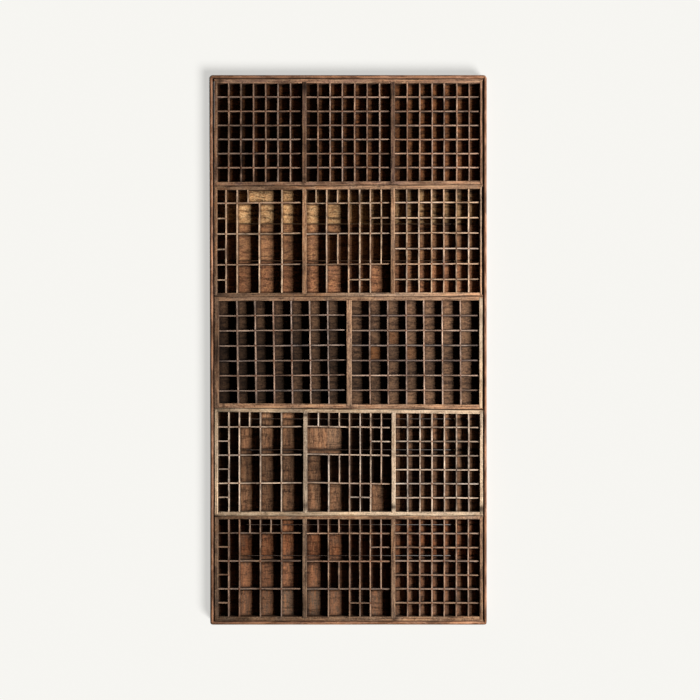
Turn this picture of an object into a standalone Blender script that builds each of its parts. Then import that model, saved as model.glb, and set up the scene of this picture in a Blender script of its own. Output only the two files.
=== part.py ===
# Five wooden type cases stacked in a shallow wall frame, front towards -Y, +Z up, in metres.
# The origin is the middle of the frame's back, on the wall.

import math

import bmesh
import bpy
from mathutils import Matrix

# Running and assembly clearances
FIT = 0.0003
SIDE_PLAY = 0.002
TOP_PLAY = 0.002

# Outline of each case, numbered from the top of the stack
CASE_WIDTH = 0.930
CASE_DEPTH = 0.038
CASE_1_HEIGHT = 0.3695
CASE_2_HEIGHT = 0.386
CASE_3_HEIGHT = 0.387
CASE_4_HEIGHT = 0.369
CASE_5_HEIGHT = 0.365
LOWER_CASES_SHIFT = 0.0012

# Timber of a case, as seen from the front
LONG_RAIL = 0.0135
SIDE_RAIL = 0.0125
PARTITION = 0.015
UPPER_SIDE_RAIL = 0.0155
UPPER_PARTITION = 0.0185
CORNER_LAP = 0.005
HOUSING_DEPTH = 0.004

# Floor boards, nailed under the rails, with open joints
FLOOR_THICKNESS = 0.006
FLOOR_JOINT = 0.0015
NARROW_BOARD = 0.035
MIDDLE_BOARD = 0.108

# Dividers stand on the floor and stop short of the rails' front edges
DIVIDER_THICKNESS = 0.0045
DIVIDER_DROP = 0.0055

# Boxes of a section: rows in every section, columns of capitals, columns of the lower-case lay
ROWS = 7
CAPITAL_COLUMNS = 7
LETTER_COLUMNS = 8

# What the outer boxes lose against the inner ones, at each end of a row or column
CASE_1_COLUMN_TRIM = 0.004
CASE_2_COLUMN_TRIM = 0.005
CASE_2_ROW_TRIM = 0.0068
CASE_3_ROW_TRIM = 0.003
LOWER_COLUMN_TRIM = 0.002

# Wall frame: mitred boards round the stack and two uprights behind the case ends
FRAME_BOARD = 0.012
FRAME_PROUD = 0.001
FRAME_EDGE_ROUND = 0.005
TOP_CORNER_ROUND = 0.012
BOTTOM_CORNER_ROUND = 0.007
UPRIGHT_WIDTH = 0.110
UPRIGHT_THICKNESS = 0.012
CORNER_SEGMENTS = 4
EDGE_SEGMENTS = 3

# Depths, measured along Y from the wall
CASE_BACK = -(UPRIGHT_THICKNESS + FIT)
FLOOR_FRONT = CASE_BACK - FLOOR_THICKNESS
RAIL_BACK = FLOOR_FRONT - FIT
RAIL_FRONT = CASE_BACK - CASE_DEPTH
DIVIDER_HEIGHT = RAIL_BACK - RAIL_FRONT - DIVIDER_DROP
FRAME_DEPTH = FRAME_PROUD - RAIL_FRONT

# A divider is (place, start, end), counted in boxes from the left or from the top.
# The first upright and the first cross divider of a section are glued at every crossing.
CAPITAL_UPRIGHTS = [(column, 0, ROWS) for column in range(1, CAPITAL_COLUMNS)]
CAPITAL_CROSSES = [(row, 0, CAPITAL_COLUMNS) for row in range(1, ROWS)]

LONG_CROSSES = [(row, 0, LETTER_COLUMNS) for row in (1, 3, 5)]

LEFT_UPRIGHTS = [(column, 0, ROWS) for column in (1, 2, 4, 6)] + [(3, 0, 1)]
LEFT_CROSSES = LONG_CROSSES + [(row, 0, 1) for row in (2, 4, 6)]
CASE_5_LEFT_UPRIGHTS = LEFT_UPRIGHTS + [(5, 0, 1)]

# The left section of case 2 was divided by eye, so its uprights stand off the even places
CASE_2_FIRST = 0.74
CASE_2_LEFT_UPRIGHTS = [(CASE_2_FIRST, 0, ROWS), (1.82, 0, ROWS), (4, 1, ROWS), (6.06, 0, ROWS), (2.9, 0, 1)]
CASE_2_LEFT_CROSSES = LONG_CROSSES + [(row, 0, CASE_2_FIRST) for row in (2, 4, 6)]

INNER_UPRIGHTS = [(5, 0, ROWS), (6, 0, ROWS), (7, 0, 5), (1, 0, 1), (3, 0, 1), (3, 3, 5)]
MIDDLE_UPRIGHTS = [(4, 0, ROWS), (2, 0, ROWS)] + INNER_UPRIGHTS
MIDDLE_CROSSES = LONG_CROSSES + [(2, 6, LETTER_COLUMNS), (6, 4, 6)]
CASE_4_MIDDLE_UPRIGHTS = [(4, 0, ROWS), (2, 0, 1), (2, 3, ROWS)] + INNER_UPRIGHTS


def capitals(trim):
    return dict(columns=CAPITAL_COLUMNS, trim=trim, uprights=CAPITAL_UPRIGHTS, crosses=CAPITAL_CROSSES)


def letters(uprights, crosses):
    return dict(columns=LETTER_COLUMNS, trim=0, uprights=uprights, crosses=crosses)


THIRDS_OF_CASE_2 = [CASE_2_HEIGHT / 3, CASE_2_HEIGHT * 2 / 3]
TOP_BOARD_JOINTS = [NARROW_BOARD, NARROW_BOARD + MIDDLE_BOARD]

CASES = {
    "case_1": dict(
        height=CASE_1_HEIGHT, shift=0, side=SIDE_RAIL, partition=PARTITION, row_trim=0, joints=[],
        colour=(0.26, 0.14, 0.08),
        sections={side: capitals(CASE_1_COLUMN_TRIM) for side in ("left", "middle", "right")},
    ),
    "case_2": dict(
        height=CASE_2_HEIGHT, shift=0, side=SIDE_RAIL, partition=PARTITION, row_trim=CASE_2_ROW_TRIM,
        joints=THIRDS_OF_CASE_2, colour=(0.33, 0.19, 0.11),
        sections=dict(
            left=letters(CASE_2_LEFT_UPRIGHTS, CASE_2_LEFT_CROSSES),
            middle=letters(MIDDLE_UPRIGHTS, MIDDLE_CROSSES),
            right=capitals(CASE_2_COLUMN_TRIM),
        ),
    ),
    "case_3": dict(
        height=CASE_3_HEIGHT, shift=0, side=UPPER_SIDE_RAIL, partition=UPPER_PARTITION,
        row_trim=CASE_3_ROW_TRIM, joints=[], colour=(0.36, 0.22, 0.14),
        sections={side: capitals(0) for side in ("left", "right")},
    ),
    "case_4": dict(
        height=CASE_4_HEIGHT, shift=LOWER_CASES_SHIFT, side=SIDE_RAIL, partition=PARTITION, row_trim=0,
        joints=TOP_BOARD_JOINTS, colour=(0.45, 0.29, 0.17),
        sections=dict(
            left=letters(LEFT_UPRIGHTS, LEFT_CROSSES),
            middle=letters(CASE_4_MIDDLE_UPRIGHTS, MIDDLE_CROSSES),
            right=capitals(LOWER_COLUMN_TRIM),
        ),
    ),
    "case_5": dict(
        height=CASE_5_HEIGHT, shift=LOWER_CASES_SHIFT, side=SIDE_RAIL, partition=PARTITION, row_trim=0,
        joints=TOP_BOARD_JOINTS, colour=(0.30, 0.18, 0.11),
        sections=dict(
            left=letters(CASE_5_LEFT_UPRIGHTS, LEFT_CROSSES),
            middle=letters(MIDDLE_UPRIGHTS, MIDDLE_CROSSES),
            right=capitals(LOWER_COLUMN_TRIM),
        ),
    ),
}
FRAME_COLOUR = (0.30, 0.15, 0.09)
UPRIGHT_COLOUR = (0.38, 0.24, 0.15)

STACK_HEIGHT = sum(case["height"] + FIT for case in CASES.values())
INNER_HEIGHT = STACK_HEIGHT + TOP_PLAY
INNER_WIDTH = CASE_WIDTH + 2 * SIDE_PLAY


def clear_scene():
    for obj in list(bpy.data.objects):
        bpy.data.objects.remove(obj, do_unlink=True)


def new_collection(name):
    collection = bpy.data.collections.new(name)
    bpy.context.scene.collection.children.link(collection)
    return collection


def wood(name, colour):
    material = bpy.data.materials.new(name)
    material.use_nodes = True
    shader = material.node_tree.nodes["Principled BSDF"]
    shader.inputs["Base Color"].default_value = (*colour, 1)
    shader.inputs["Roughness"].default_value = 0.6
    shader.inputs["Metallic"].default_value = 0
    return material


def add_object(name, data, collection, parent=None, matrix=None):
    obj = bpy.data.objects.new(name, data)
    collection.objects.link(obj)
    obj.parent = parent
    if matrix:
        obj.matrix_local = matrix
    return obj


def add_piece(name, data, colour, parent=None, matrix=None):
    data.materials.append(wood(name, colour))
    return add_object(name, data, parts, parent, matrix)


def add_box(name, low, high, colour, parent=None):
    # A squared board between two corners, with its origin at its middle
    size = [b - a for a, b in zip(low, high)]
    middle = [(a + b) / 2 for a, b in zip(low, high)]
    mesh = bpy.data.meshes.new(name)
    bm = bmesh.new()
    bmesh.ops.create_cube(bm, size=1)
    bmesh.ops.scale(bm, vec=size, verts=bm.verts)
    bm.to_mesh(mesh)
    bm.free()
    return add_piece(name, mesh, colour, parent, Matrix.Translation(middle))


def outline_curve(name, points, thickness):
    # A flat outline in local XY, as thick as given along local Z
    curve = bpy.data.curves.new(name, "CURVE")
    curve.dimensions = "2D"
    curve.fill_mode = "BOTH"
    curve.extrude = thickness / 2
    spline = curve.splines.new("POLY")
    spline.points.add(len(points) - 1)
    for point, (x, y) in zip(spline.points, points):
        point.co = (x, y, 0, 1)
    spline.use_cyclic_u = True
    return curve


def meshes_of(curves):
    # Curves become closed meshes, so that they can be cut, joined and rounded
    holders = [add_object(curve.name, curve, cutters) for curve in curves]
    graph = bpy.context.evaluated_depsgraph_get()
    meshes = []
    for holder in holders:
        mesh = bpy.data.meshes.new_from_object(holder.evaluated_get(graph))
        mesh.name = holder.name
        bm = bmesh.new()
        bm.from_mesh(mesh)
        bmesh.ops.remove_doubles(bm, verts=bm.verts, dist=FIT / 100)
        bmesh.ops.dissolve_limit(bm, angle_limit=0.001, verts=bm.verts, edges=bm.edges)
        bm.to_mesh(mesh)
        bm.free()
        meshes.append(mesh)
    for holder in holders:
        bpy.data.objects.remove(holder, do_unlink=True)
    return meshes


def axes(x_axis, y_axis, z_axis, place):
    turn = Matrix((x_axis, y_axis, z_axis)).transposed().to_4x4()
    return Matrix.Translation(place) @ turn


def facing_front(place):
    # Local X stays, local Y points up, local Z points to the front
    return axes((1, 0, 0), (0, 0, 1), (0, -1, 0), place)


def section_spans(case):
    # Left and right ends of each section, between the side rails and the partitions
    count = len(case["sections"])
    clear = CASE_WIDTH - 2 * case["side"] - (count - 1) * case["partition"]
    width = clear / count
    first = -CASE_WIDTH / 2 + case["side"]
    starts = [first + i * (width + case["partition"]) for i in range(count)]
    return [(start, start + width) for start in starts]


def box_edges(low, high, count, trim):
    # Divider centres between two faces, evenly spaced, with the outer boxes trimmed
    pitch = (high - low + 2 * trim) / count
    middle = (low + high) / 2
    inner = [middle + (i - count / 2) * pitch for i in range(1, count)]
    return [low + FIT, *inner, high - FIT]


def place_on(edges, number):
    # Where a divider stands: on its own edge, or between two edges where the number isn't whole
    whole = min(int(number), len(edges) - 2)
    return edges[whole] + (number - whole) * (edges[whole + 1] - edges[whole])


def notched(start, end, crossings, from_front):
    # Side view of a divider: length along X, depth from the floor along Y, half-lap notches
    half = DIVIDER_THICKNESS / 2 + FIT
    edge = DIVIDER_HEIGHT if from_front else 0
    bed = (DIVIDER_HEIGHT - FIT) / 2 if from_front else (DIVIDER_HEIGHT + FIT) / 2
    cut = []
    for place in sorted(crossings, reverse=from_front):
        near, far = (place + half, place - half) if from_front else (place - half, place + half)
        cut += [(near, edge), (near, bed), (far, bed), (far, edge)]
    back = [] if from_front else cut
    front = cut if from_front else []
    return [(start, 0), *back, (end, 0), (end, DIVIDER_HEIGHT), *front, (start, DIVIDER_HEIGHT)]


def add_dividers(name, section, span, case, colour, parent):
    # Dividers of one section, halved together where they cross and let into each other where they end
    low, high = span
    half_inside = case["height"] / 2 - LONG_RAIL
    columns = box_edges(low, high, section["columns"], section["trim"])
    rows = box_edges(-half_inside, half_inside, ROWS, case["row_trim"])[::-1]
    uprights, crosses = section["uprights"], section["crosses"]

    def halved(upright, cross):
        column, top, bottom = upright
        row, left, right = cross
        passes = left < column < right and top < row < bottom
        return passes and upright != uprights[0] and cross != crosses[0]

    curves, places = [], []
    for upright in uprights:
        column, top, bottom = upright
        laps = [rows[cross[0]] for cross in crosses if halved(upright, cross)]
        outline = notched(rows[bottom], rows[top], laps, from_front=False)
        curves.append(outline_curve(name, outline, DIVIDER_THICKNESS))
        across = place_on(columns, column)
        places.append(axes((0, 0, 1), (0, -1, 0), (1, 0, 0), (across, RAIL_BACK, 0)))
    for cross in crosses:
        row, left, right = cross
        laps = [place_on(columns, upright[0]) for upright in uprights if halved(upright, cross)]
        ends = place_on(columns, left), place_on(columns, right)
        outline = notched(*ends, laps, from_front=True)
        curves.append(outline_curve(name, outline, DIVIDER_THICKNESS))
        places.append(axes((1, 0, 0), (0, -1, 0), (0, 0, -1), (0, RAIL_BACK, rows[row])))

    others = bpy.data.collections.new(name)
    cutters.children.link(others)
    first, *rest = meshes_of(curves)
    piece = add_piece(name, first, colour, parent, places[0])
    for mesh, place in zip(rest, places[1:]):
        other = add_object(name + "_strip", mesh, others, parent, place)
        other.hide_render = True
        other.display_type = "WIRE"
    join = piece.modifiers.new("glued crossings", "BOOLEAN")
    join.operation = "UNION"
    join.solver = "EXACT"
    join.operand_type = "COLLECTION"
    join.collection = others


def long_rail_outline(case, spans):
    # Front view of a top rail about its own middle: rebated ends, a housing for each partition
    half_length = CASE_WIDTH / 2
    half_width = LONG_RAIL / 2
    lap = half_length - case["side"] - FIT
    shoulder = half_width - CORNER_LAP
    outline = [(-half_length, half_width), (-half_length, shoulder), (-lap, shoulder), (-lap, -half_width)]
    bed = -half_width + HOUSING_DEPTH
    for (_, left), (right, _) in zip(spans, spans[1:]):
        start, end = left - FIT, right + FIT
        outline += [(start, -half_width), (start, bed), (end, bed), (end, -half_width)]
    outline += [(lap, -half_width), (lap, shoulder), (half_length, shoulder), (half_length, half_width)]
    return outline


def add_rails(name, case, spans, colour, parent):
    half_width = CASE_WIDTH / 2
    half_height = case["height"] / 2
    outline = long_rail_outline(case, spans)
    flipped = [(x, -y) for x, y in outline]
    middle = half_height - LONG_RAIL / 2
    depth = RAIL_BACK - RAIL_FRONT
    depth_middle = (RAIL_BACK + RAIL_FRONT) / 2
    for side, points, height in (("top", outline, middle), ("bottom", flipped, -middle)):
        curve = outline_curve(f"{name}_{side}_rail", points, depth)
        add_piece(curve.name, curve, colour, parent, facing_front((0, depth_middle, height)))
    end = half_height - CORNER_LAP - FIT
    inner = half_width - case["side"]
    for side, left, right in (("left", -half_width, -inner), ("right", inner, half_width)):
        corners = (left, RAIL_FRONT, -end), (right, RAIL_BACK, end)
        add_box(f"{name}_{side}_rail", *corners, colour, parent)


def add_partitions(name, case, spans, colour, parent):
    end = case["height"] / 2 - LONG_RAIL + HOUSING_DEPTH - FIT
    gaps = list(zip(spans, spans[1:]))
    sides = ("left", "right") if len(gaps) > 1 else ("middle",)
    for side, ((_, left), (right, _)) in zip(sides, gaps):
        corners = (left, RAIL_FRONT, -end), (right, RAIL_BACK, end)
        add_box(f"{name}_{side}_partition", *corners, colour, parent)


def add_floor(name, case, colour, parent):
    half_width = CASE_WIDTH / 2
    half_height = case["height"] / 2
    tops = [half_height, *(half_height - joint - FLOOR_JOINT / 2 for joint in case["joints"])]
    bottoms = [*(half_height - joint + FLOOR_JOINT / 2 for joint in case["joints"]), -half_height]
    boards = [f"{place}_floor_board" for place in ("top", "middle", "bottom")]
    labels = boards if case["joints"] else ["floor"]
    for label, top, bottom in zip(labels, tops, bottoms):
        corners = (-half_width, FLOOR_FRONT, bottom), (half_width, CASE_BACK, top)
        add_box(f"{name}_{label}", *corners, colour, parent)


def add_case(name, case, height):
    # The empty is the case's own frame: it slides straight out along -Y
    parent = add_object(name, None, parts, matrix=Matrix.Translation((case["shift"], 0, height)))
    spans = section_spans(case)
    colour = case["colour"]
    add_rails(name, case, spans, colour, parent)
    add_partitions(name, case, spans, colour, parent)
    add_floor(name, case, colour, parent)
    for (side, section), span in zip(case["sections"].items(), spans):
        add_dividers(f"{name}_{side}_dividers", section, span, case, colour, parent)


def add_stack():
    top = INNER_HEIGHT / 2 - TOP_PLAY
    for name, case in CASES.items():
        add_case(name, case, top - case["height"] / 2)
        top -= case["height"] + FIT


def mitred_outline(half_length, start_round, end_round):
    # Front view of a frame board, outer edge along +Y at zero, mitred ends, rounded outer corners
    half = half_length - FIT / math.sqrt(2)
    turns = [math.pi / 4 * (1 + i / CORNER_SEGMENTS) for i in range(CORNER_SEGMENTS + 1)]
    end_arc = [(half + end_round * (math.cos(a) - 1), end_round * (math.sin(a) - 1)) for a in turns]
    start_arc = [(-half - start_round * (math.cos(a) - 1), start_round * (math.sin(a) - 1)) for a in turns]
    inner = half - FRAME_BOARD
    return [(-inner, -FRAME_BOARD), (inner, -FRAME_BOARD), *end_arc, *reversed(start_arc)]


def round_front_edges(piece):
    # Rounds the outer and the inner front edge, and leaves the mitres square
    mesh = piece.data
    weights = mesh.attributes.new("bevel_weight_edge", "FLOAT", "EDGE")
    front = FRAME_DEPTH / 2 - FIT
    for edge in mesh.edges:
        first, last = [mesh.vertices[i].co for i in edge.vertices]
        along = (first.y > -FRAME_BOARD / 2) == (last.y > -FRAME_BOARD / 2)
        weights.data[edge.index].value = along and first.z > front and last.z > front
    bevel = piece.modifiers.new("rounded front edges", "BEVEL")
    bevel.limit_method = "WEIGHT"
    bevel.width = FRAME_EDGE_ROUND
    bevel.segments = EDGE_SEGMENTS


def add_frame():
    half_width = INNER_WIDTH / 2 + FRAME_BOARD
    half_height = INNER_HEIGHT / 2 + FRAME_BOARD
    top, bottom = TOP_CORNER_ROUND, BOTTOM_CORNER_ROUND
    boards = (
        ("top", 0, half_width, half_height, top, top),
        ("right", 1, half_height, half_width, top, bottom),
        ("bottom", 2, half_width, half_height, bottom, bottom),
        ("left", 3, half_height, half_width, bottom, top),
    )
    for side, quarters, half_length, reach, start_round, end_round in boards:
        name = f"frame_{side}_board"
        curve = outline_curve(name, mitred_outline(half_length, start_round, end_round), FRAME_DEPTH)
        turn = Matrix.Rotation(quarters * math.pi / 2, 4, "Y")
        place = turn @ facing_front((0, -FRAME_DEPTH / 2, reach))
        piece = add_piece(name, meshes_of([curve])[0], FRAME_COLOUR, matrix=place)
        round_front_edges(piece)

    end = INNER_HEIGHT / 2 - FIT
    outer = INNER_WIDTH / 2 - FIT
    inner = outer - UPRIGHT_WIDTH
    for side, left, right in (("left", -outer, -inner), ("right", inner, outer)):
        name = f"back_upright_{side}"
        add_box(name, (left, -UPRIGHT_THICKNESS, -end), (right, 0, end), UPRIGHT_COLOUR)


clear_scene()
parts = new_collection("type case")
cutters = new_collection("divider strips")
add_frame()
add_stack()
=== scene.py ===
import math

import bpy
import numpy as np
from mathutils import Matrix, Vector


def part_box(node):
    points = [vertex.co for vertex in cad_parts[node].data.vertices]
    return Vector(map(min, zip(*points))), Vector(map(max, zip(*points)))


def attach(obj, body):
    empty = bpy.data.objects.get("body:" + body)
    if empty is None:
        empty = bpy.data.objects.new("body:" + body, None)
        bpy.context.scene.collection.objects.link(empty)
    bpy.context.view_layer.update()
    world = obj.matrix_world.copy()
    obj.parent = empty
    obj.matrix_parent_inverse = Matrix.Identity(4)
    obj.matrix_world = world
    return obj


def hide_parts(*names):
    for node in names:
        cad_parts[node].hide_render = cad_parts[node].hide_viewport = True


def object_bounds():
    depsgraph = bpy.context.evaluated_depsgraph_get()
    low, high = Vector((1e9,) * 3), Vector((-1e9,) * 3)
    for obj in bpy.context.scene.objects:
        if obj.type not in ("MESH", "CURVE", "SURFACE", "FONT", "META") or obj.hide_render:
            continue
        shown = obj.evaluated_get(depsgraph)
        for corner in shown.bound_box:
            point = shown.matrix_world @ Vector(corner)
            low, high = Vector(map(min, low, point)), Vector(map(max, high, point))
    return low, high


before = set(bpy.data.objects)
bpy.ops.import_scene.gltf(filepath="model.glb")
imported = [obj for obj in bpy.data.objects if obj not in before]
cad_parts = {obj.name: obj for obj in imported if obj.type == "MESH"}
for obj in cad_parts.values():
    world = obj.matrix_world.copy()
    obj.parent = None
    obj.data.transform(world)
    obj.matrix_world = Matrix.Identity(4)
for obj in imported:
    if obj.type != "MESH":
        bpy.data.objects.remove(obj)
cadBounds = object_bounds()
mm = 0.001
print("frame loaded:", len(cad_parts), "solids")


# sRGB hex to the linear values that colour sockets take
def linear(hexColour):
    value = np.array([int(hexColour[i:i + 2], 16) for i in (1, 3, 5)]) / 255
    value = np.where(value <= 0.04045, value / 12.92, ((value + 0.055) / 1.055) ** 2.4)
    return (*value.tolist(), 1)


# A node's inputs: values are set and sockets linked
def setInputs(tree, node, inputs):
    for key, value in inputs.items():
        if isinstance(value, bpy.types.NodeSocket):
            tree.links.new(value, node.inputs[key])
        else:
            node.inputs[key].default_value = value


# One node with its settings
def addNode(tree, kind, inputs=None, **settings):
    node = tree.nodes.new(kind)
    for key, value in settings.items():
        setattr(node, key, value)
    setInputs(tree, node, inputs or {})
    return node


def addObject(name, data):
    added = bpy.data.objects.new(name, data)
    bpy.context.scene.collection.objects.link(added)
    return added


def newMaterial(name):
    material = bpy.data.materials.new(name)
    material.use_nodes = True
    tree = material.node_tree
    return material, tree, tree.nodes["Principled BSDF"]


photoView = {
    "pixel": 3.462 * mm,  # one photo pixel at the rails' front edges
    "pixels": 700,
    "lens": 65,  # millimetres, on a 36 mm sensor
    "sensor": 36,
    "aside": 5.2 * mm,  # the stack hangs a little left of the picture's middle
    "below": 0.4 * mm,
    "railFront": -50.3 * mm,
}


def addCamera(view):
    data = bpy.data.cameras.new("camera")
    data.lens = view["lens"]
    data.sensor_width = view["sensor"]
    reach = view["pixel"] * view["pixels"] * view["lens"] / view["sensor"]
    camera = addObject("camera", data)
    camera.location = (view["aside"], view["railFront"] - reach, -view["below"])
    camera.rotation_euler = (math.pi / 2, 0, 0)
    bpy.context.scene.camera = camera


addCamera(photoView)
bpy.context.scene.view_settings.view_transform = "Standard"
print("camera placed")

stageLook = {
    "wallTint": "#F6F5F1",
    "wallShare": 0.64,  # how much of the wall's paleness stays in the drop shadow
    "wallPaint": 0.35,  # paint as dark as this takes little light back from the frame's bright side
    "wallRoughness": 0.9,
    "wallSize": 4.0,  # metres from the middle to each edge
    "wallGap": 0.6 * mm,  # behind the frame
    "wallInset": (25 * mm, 20 * mm),  # the wall behind the stack starts this far inside its outline
    "behind": 0.002,  # painted shade: that part is emitted this dark, as the shadow behind the stack, seen through the open floor joints
    "leakGlow": 0.6,  # painted glow that it has more of low on the right, standing for light coming through the joints
    "leakFrom": (0.05, -0.12),  # it grows right of this x and below this z, up to the places in leakTo
    "leakTo": (0.36, -0.75),
    "leakLeast": 0.015,  # share of it on the left and higher up
    "ambient": 0.003,
    "aim": (0, -30 * mm, 0),  # both softboxes look here
    "keyPlace": (2.67, -2.11, 0.0),
    "keySize": (1.1, 0.82),  # wide and high
    "keyPower": 201,
    "backPlace": (-1.6, 2.6, 1.3),
    "backSize": (1.6, 1.6),
    "backPower": 150,
    "wallSun": 4.86,
    "wallSunTravel": (-0.74, 1.0, 0.82),
    "wallSunAngle": 26,  # degrees, wide for a soft shadow
}


# A flat sheet over a grid of two parameters, turned to face the room
def addSheet(name, corner, alongU, alongV, steps=8):
    u, v = np.meshgrid(np.linspace(0, 1, steps), np.linspace(0, 1, steps), indexing="ij")
    points = np.array(corner) + u[..., None] * np.array(alongU) + v[..., None] * np.array(alongV)
    index = np.arange(steps * steps).reshape(steps, steps)
    faces = np.stack([index[:-1, :-1], index[1:, :-1], index[1:, 1:], index[:-1, 1:]], -1).reshape(-1, 4)
    mesh = bpy.data.meshes.new(name)
    mesh.from_pydata(points.reshape(-1, 3).tolist(), [], faces.tolist())
    sheet = addObject(name, mesh)
    return sheet


# Painted plaster: pale and even to the eye, a soft shadow on it, and clear from behind; behind the stack it
# is painted shade, with a painted glow low on the right
def paintedWall(look, halfWidth, halfHeight):
    material, tree, shader = newMaterial("painted plaster wall")
    tint = linear(look["wallTint"])
    place = addNode(tree, "ShaderNodeTexCoord").outputs["Object"]
    split = addNode(tree, "ShaderNodeSeparateXYZ", {0: place})
    sides = [(split.outputs["X"], halfWidth), (split.outputs["Z"], halfHeight)]
    inside = [addNode(tree, "ShaderNodeMath", {0: axis, 1: half}, operation="DIVIDE") for axis, half in sides]
    inside = [addNode(tree, "ShaderNodeMath", {0: node.outputs[0]}, operation="ABSOLUTE") for node in inside]
    edge = addNode(tree, "ShaderNodeMath", {0: inside[0].outputs[0], 1: inside[1].outputs[0]},
                   operation="MAXIMUM")
    outside = addNode(tree, "ShaderNodeMath", {0: edge.outputs[0], 1: 1.0}, operation="GREATER_THAN")
    leaks = [addNode(tree, "ShaderNodeMapRange", {
        "Value": split.outputs[axis], "From Min": first, "From Max": last, "To Min": look["leakLeast"]})
        for axis, first, last in zip("XZ", look["leakFrom"], look["leakTo"])]
    leakGlow = addNode(tree, "ShaderNodeMath", {0: leaks[0].outputs[0], 1: leaks[1].outputs[0]},
                   operation="MULTIPLY")
    leakGlow = addNode(tree, "ShaderNodeMath", {0: leakGlow.outputs[0], 1: look["leakGlow"], 2: look["behind"]},
                   operation="MULTIPLY_ADD")
    level = addNode(tree, "ShaderNodeMapRange", {
        "Value": outside.outputs[0], "To Min": leakGlow.outputs[0], "To Max": look["wallShare"]})
    path = addNode(tree, "ShaderNodeLightPath")
    seen = path.outputs["Is Camera Ray"]
    for kind in ("Is Glossy Ray", "Is Transmission Ray"):
        seen = addNode(tree, "ShaderNodeMath", {0: seen, 1: path.outputs[kind]},
                       operation="MAXIMUM").outputs[0]
    strength = addNode(tree, "ShaderNodeMath", {0: seen, 1: level.outputs[0]}, operation="MULTIPLY")
    setInputs(tree, shader, {
        "Base Color": [part * look["wallPaint"] for part in tint[:3]] + [1], "Specular IOR Level": 0,
        "Roughness": look["wallRoughness"], "Emission Color": tint, "Emission Strength": strength.outputs[0]})
    clear = addNode(tree, "ShaderNodeBsdfTransparent")
    back = addNode(tree, "ShaderNodeNewGeometry").outputs["Backfacing"]
    mix = addNode(tree, "ShaderNodeMixShader", {0: back, 1: shader.outputs[0], 2: clear.outputs[0]})
    setInputs(tree, tree.nodes["Material Output"], {"Surface": mix.outputs[0]})
    return material


def addLamp(name, kind, place, aim, energy, size=None):
    data = bpy.data.lights.new(name, kind)
    data.energy = energy
    if kind == "AREA":
        data.shape = "RECTANGLE"
        data.size, data.size_y = size
    lamp = addObject(name, data)
    lamp.location = place
    lamp.rotation_euler = (Vector(aim) - Vector(place)).to_track_quat("-Z", "Y").to_euler()
    return lamp


# Says which objects a lamp reaches: only these, or all but these
def lightsOnly(lamp, objects, state):
    group = bpy.data.collections.new(lamp.name + " reach")
    for member in objects:
        group.objects.link(member)
    lamp.light_linking.receiver_collection = group
    for entry in group.collection_objects:
        entry.light_linking.link_state = state


def addStage(look):
    high = cadBounds[1]
    reach = look["wallSize"]
    wall = addSheet("wall", (-reach, look["wallGap"], -reach), (2 * reach, 0, 0), (0, 0, 2 * reach))
    aside, above = look["wallInset"]
    wall.data.materials.append(paintedWall(look, high[0] - aside, high[2] - above))
    wall.visible_shadow = False

    for side in ("key", "back"):
        place, power, size = (look[side + fact] for fact in ("Place", "Power", "Size"))
        lamp = addLamp(side + " softbox", "AREA", place, look["aim"], power, size)
        lightsOnly(lamp, [wall], "EXCLUDE")
    travel = Vector(look["wallSunTravel"])
    sun = addLamp("wall wash", "SUN", -travel, (0, 0, 0), look["wallSun"])
    sun.data.angle = math.radians(look["wallSunAngle"])
    lightsOnly(sun, [wall], "INCLUDE")

    world = bpy.data.worlds.new("studio")
    bpy.context.scene.world = world
    world.use_nodes = True
    tree = world.node_tree
    seen = addNode(tree, "ShaderNodeLightPath").outputs["Is Camera Ray"]
    level = addNode(tree, "ShaderNodeMapRange", {"Value": seen, "To Min": look["ambient"], "To Max": 1.0})
    setInputs(tree, tree.nodes["Background"], {
        "Color": linear(look["wallTint"]), "Strength": level.outputs[0]})


addStage(stageLook)
print("stage lit")


# Patterns in timber: along the grain or in the room, sizes in millimetres, detail, roughness, distortion
timberPatterns = {
    "fibre": ("grain", (38, 0.9, 0.9), 4, 0.6, 0),  # pores, about a millimetre apart
    "figure": ("grain", "bands", 3, 0.6, 0.9),  # growth bands
    "cloud": ("room", (45, 45, 45), 3, 0.55, 0),  # dulling in patches of a hand's breadth
    "speck": ("room", (6, 6, 6), 6, 0.72, 0),  # ink and dirt flecks
    "smear": ("grain", "stains", 5, 0.62, 0.4),  # rubbed stains along the grain
    "scuff": ("grain", "scrapes", 5, 0.65, 0.6),  # pale scrapes
}
# Coats from the bare wood up: tint, what steers it, the range it is read over, cover at both ends of that
# range, and a second fact that the cover is multiplied by
timberCoats = [
    ("pale", "figure", (0.42, 0.6), (0, 1), None),
    ("grey", "cloud", (0.48, 0.7), (0, "greying"), None),
    ("grey", "weather", (0, 1), (0, 1), None),
    ("rubbed", "scuff", (0.52, 0.6), (0, "scuffs"), None),
    ("ink", "fibre", (0.34, 0.52), ("pores", 0), None),
    ("ink", "smear", (0.52, 0.62), (0, "smears"), None),
    ("ink", "speck", (0.55, 0.63), (0, "flecks"), None),
    ("rubbed", "speck", (0.38, 0.46), ("chalk", 0), None),
    ("rubbed", "smear", (0.35, 0.58), ("rubbing", 0.05), "worn"),
    ("glue", "speck", (0.42, 0.58), (0.95, 0.35), "joint"),
    # last coat: ink grime and painted shade from the grime fact; its cover of 0.8 to 1 keeps shaded insides
    # nearly black
    ("ink", "smear", (0.35, 0.65), (0.8, 1), "grime"),
]
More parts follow.
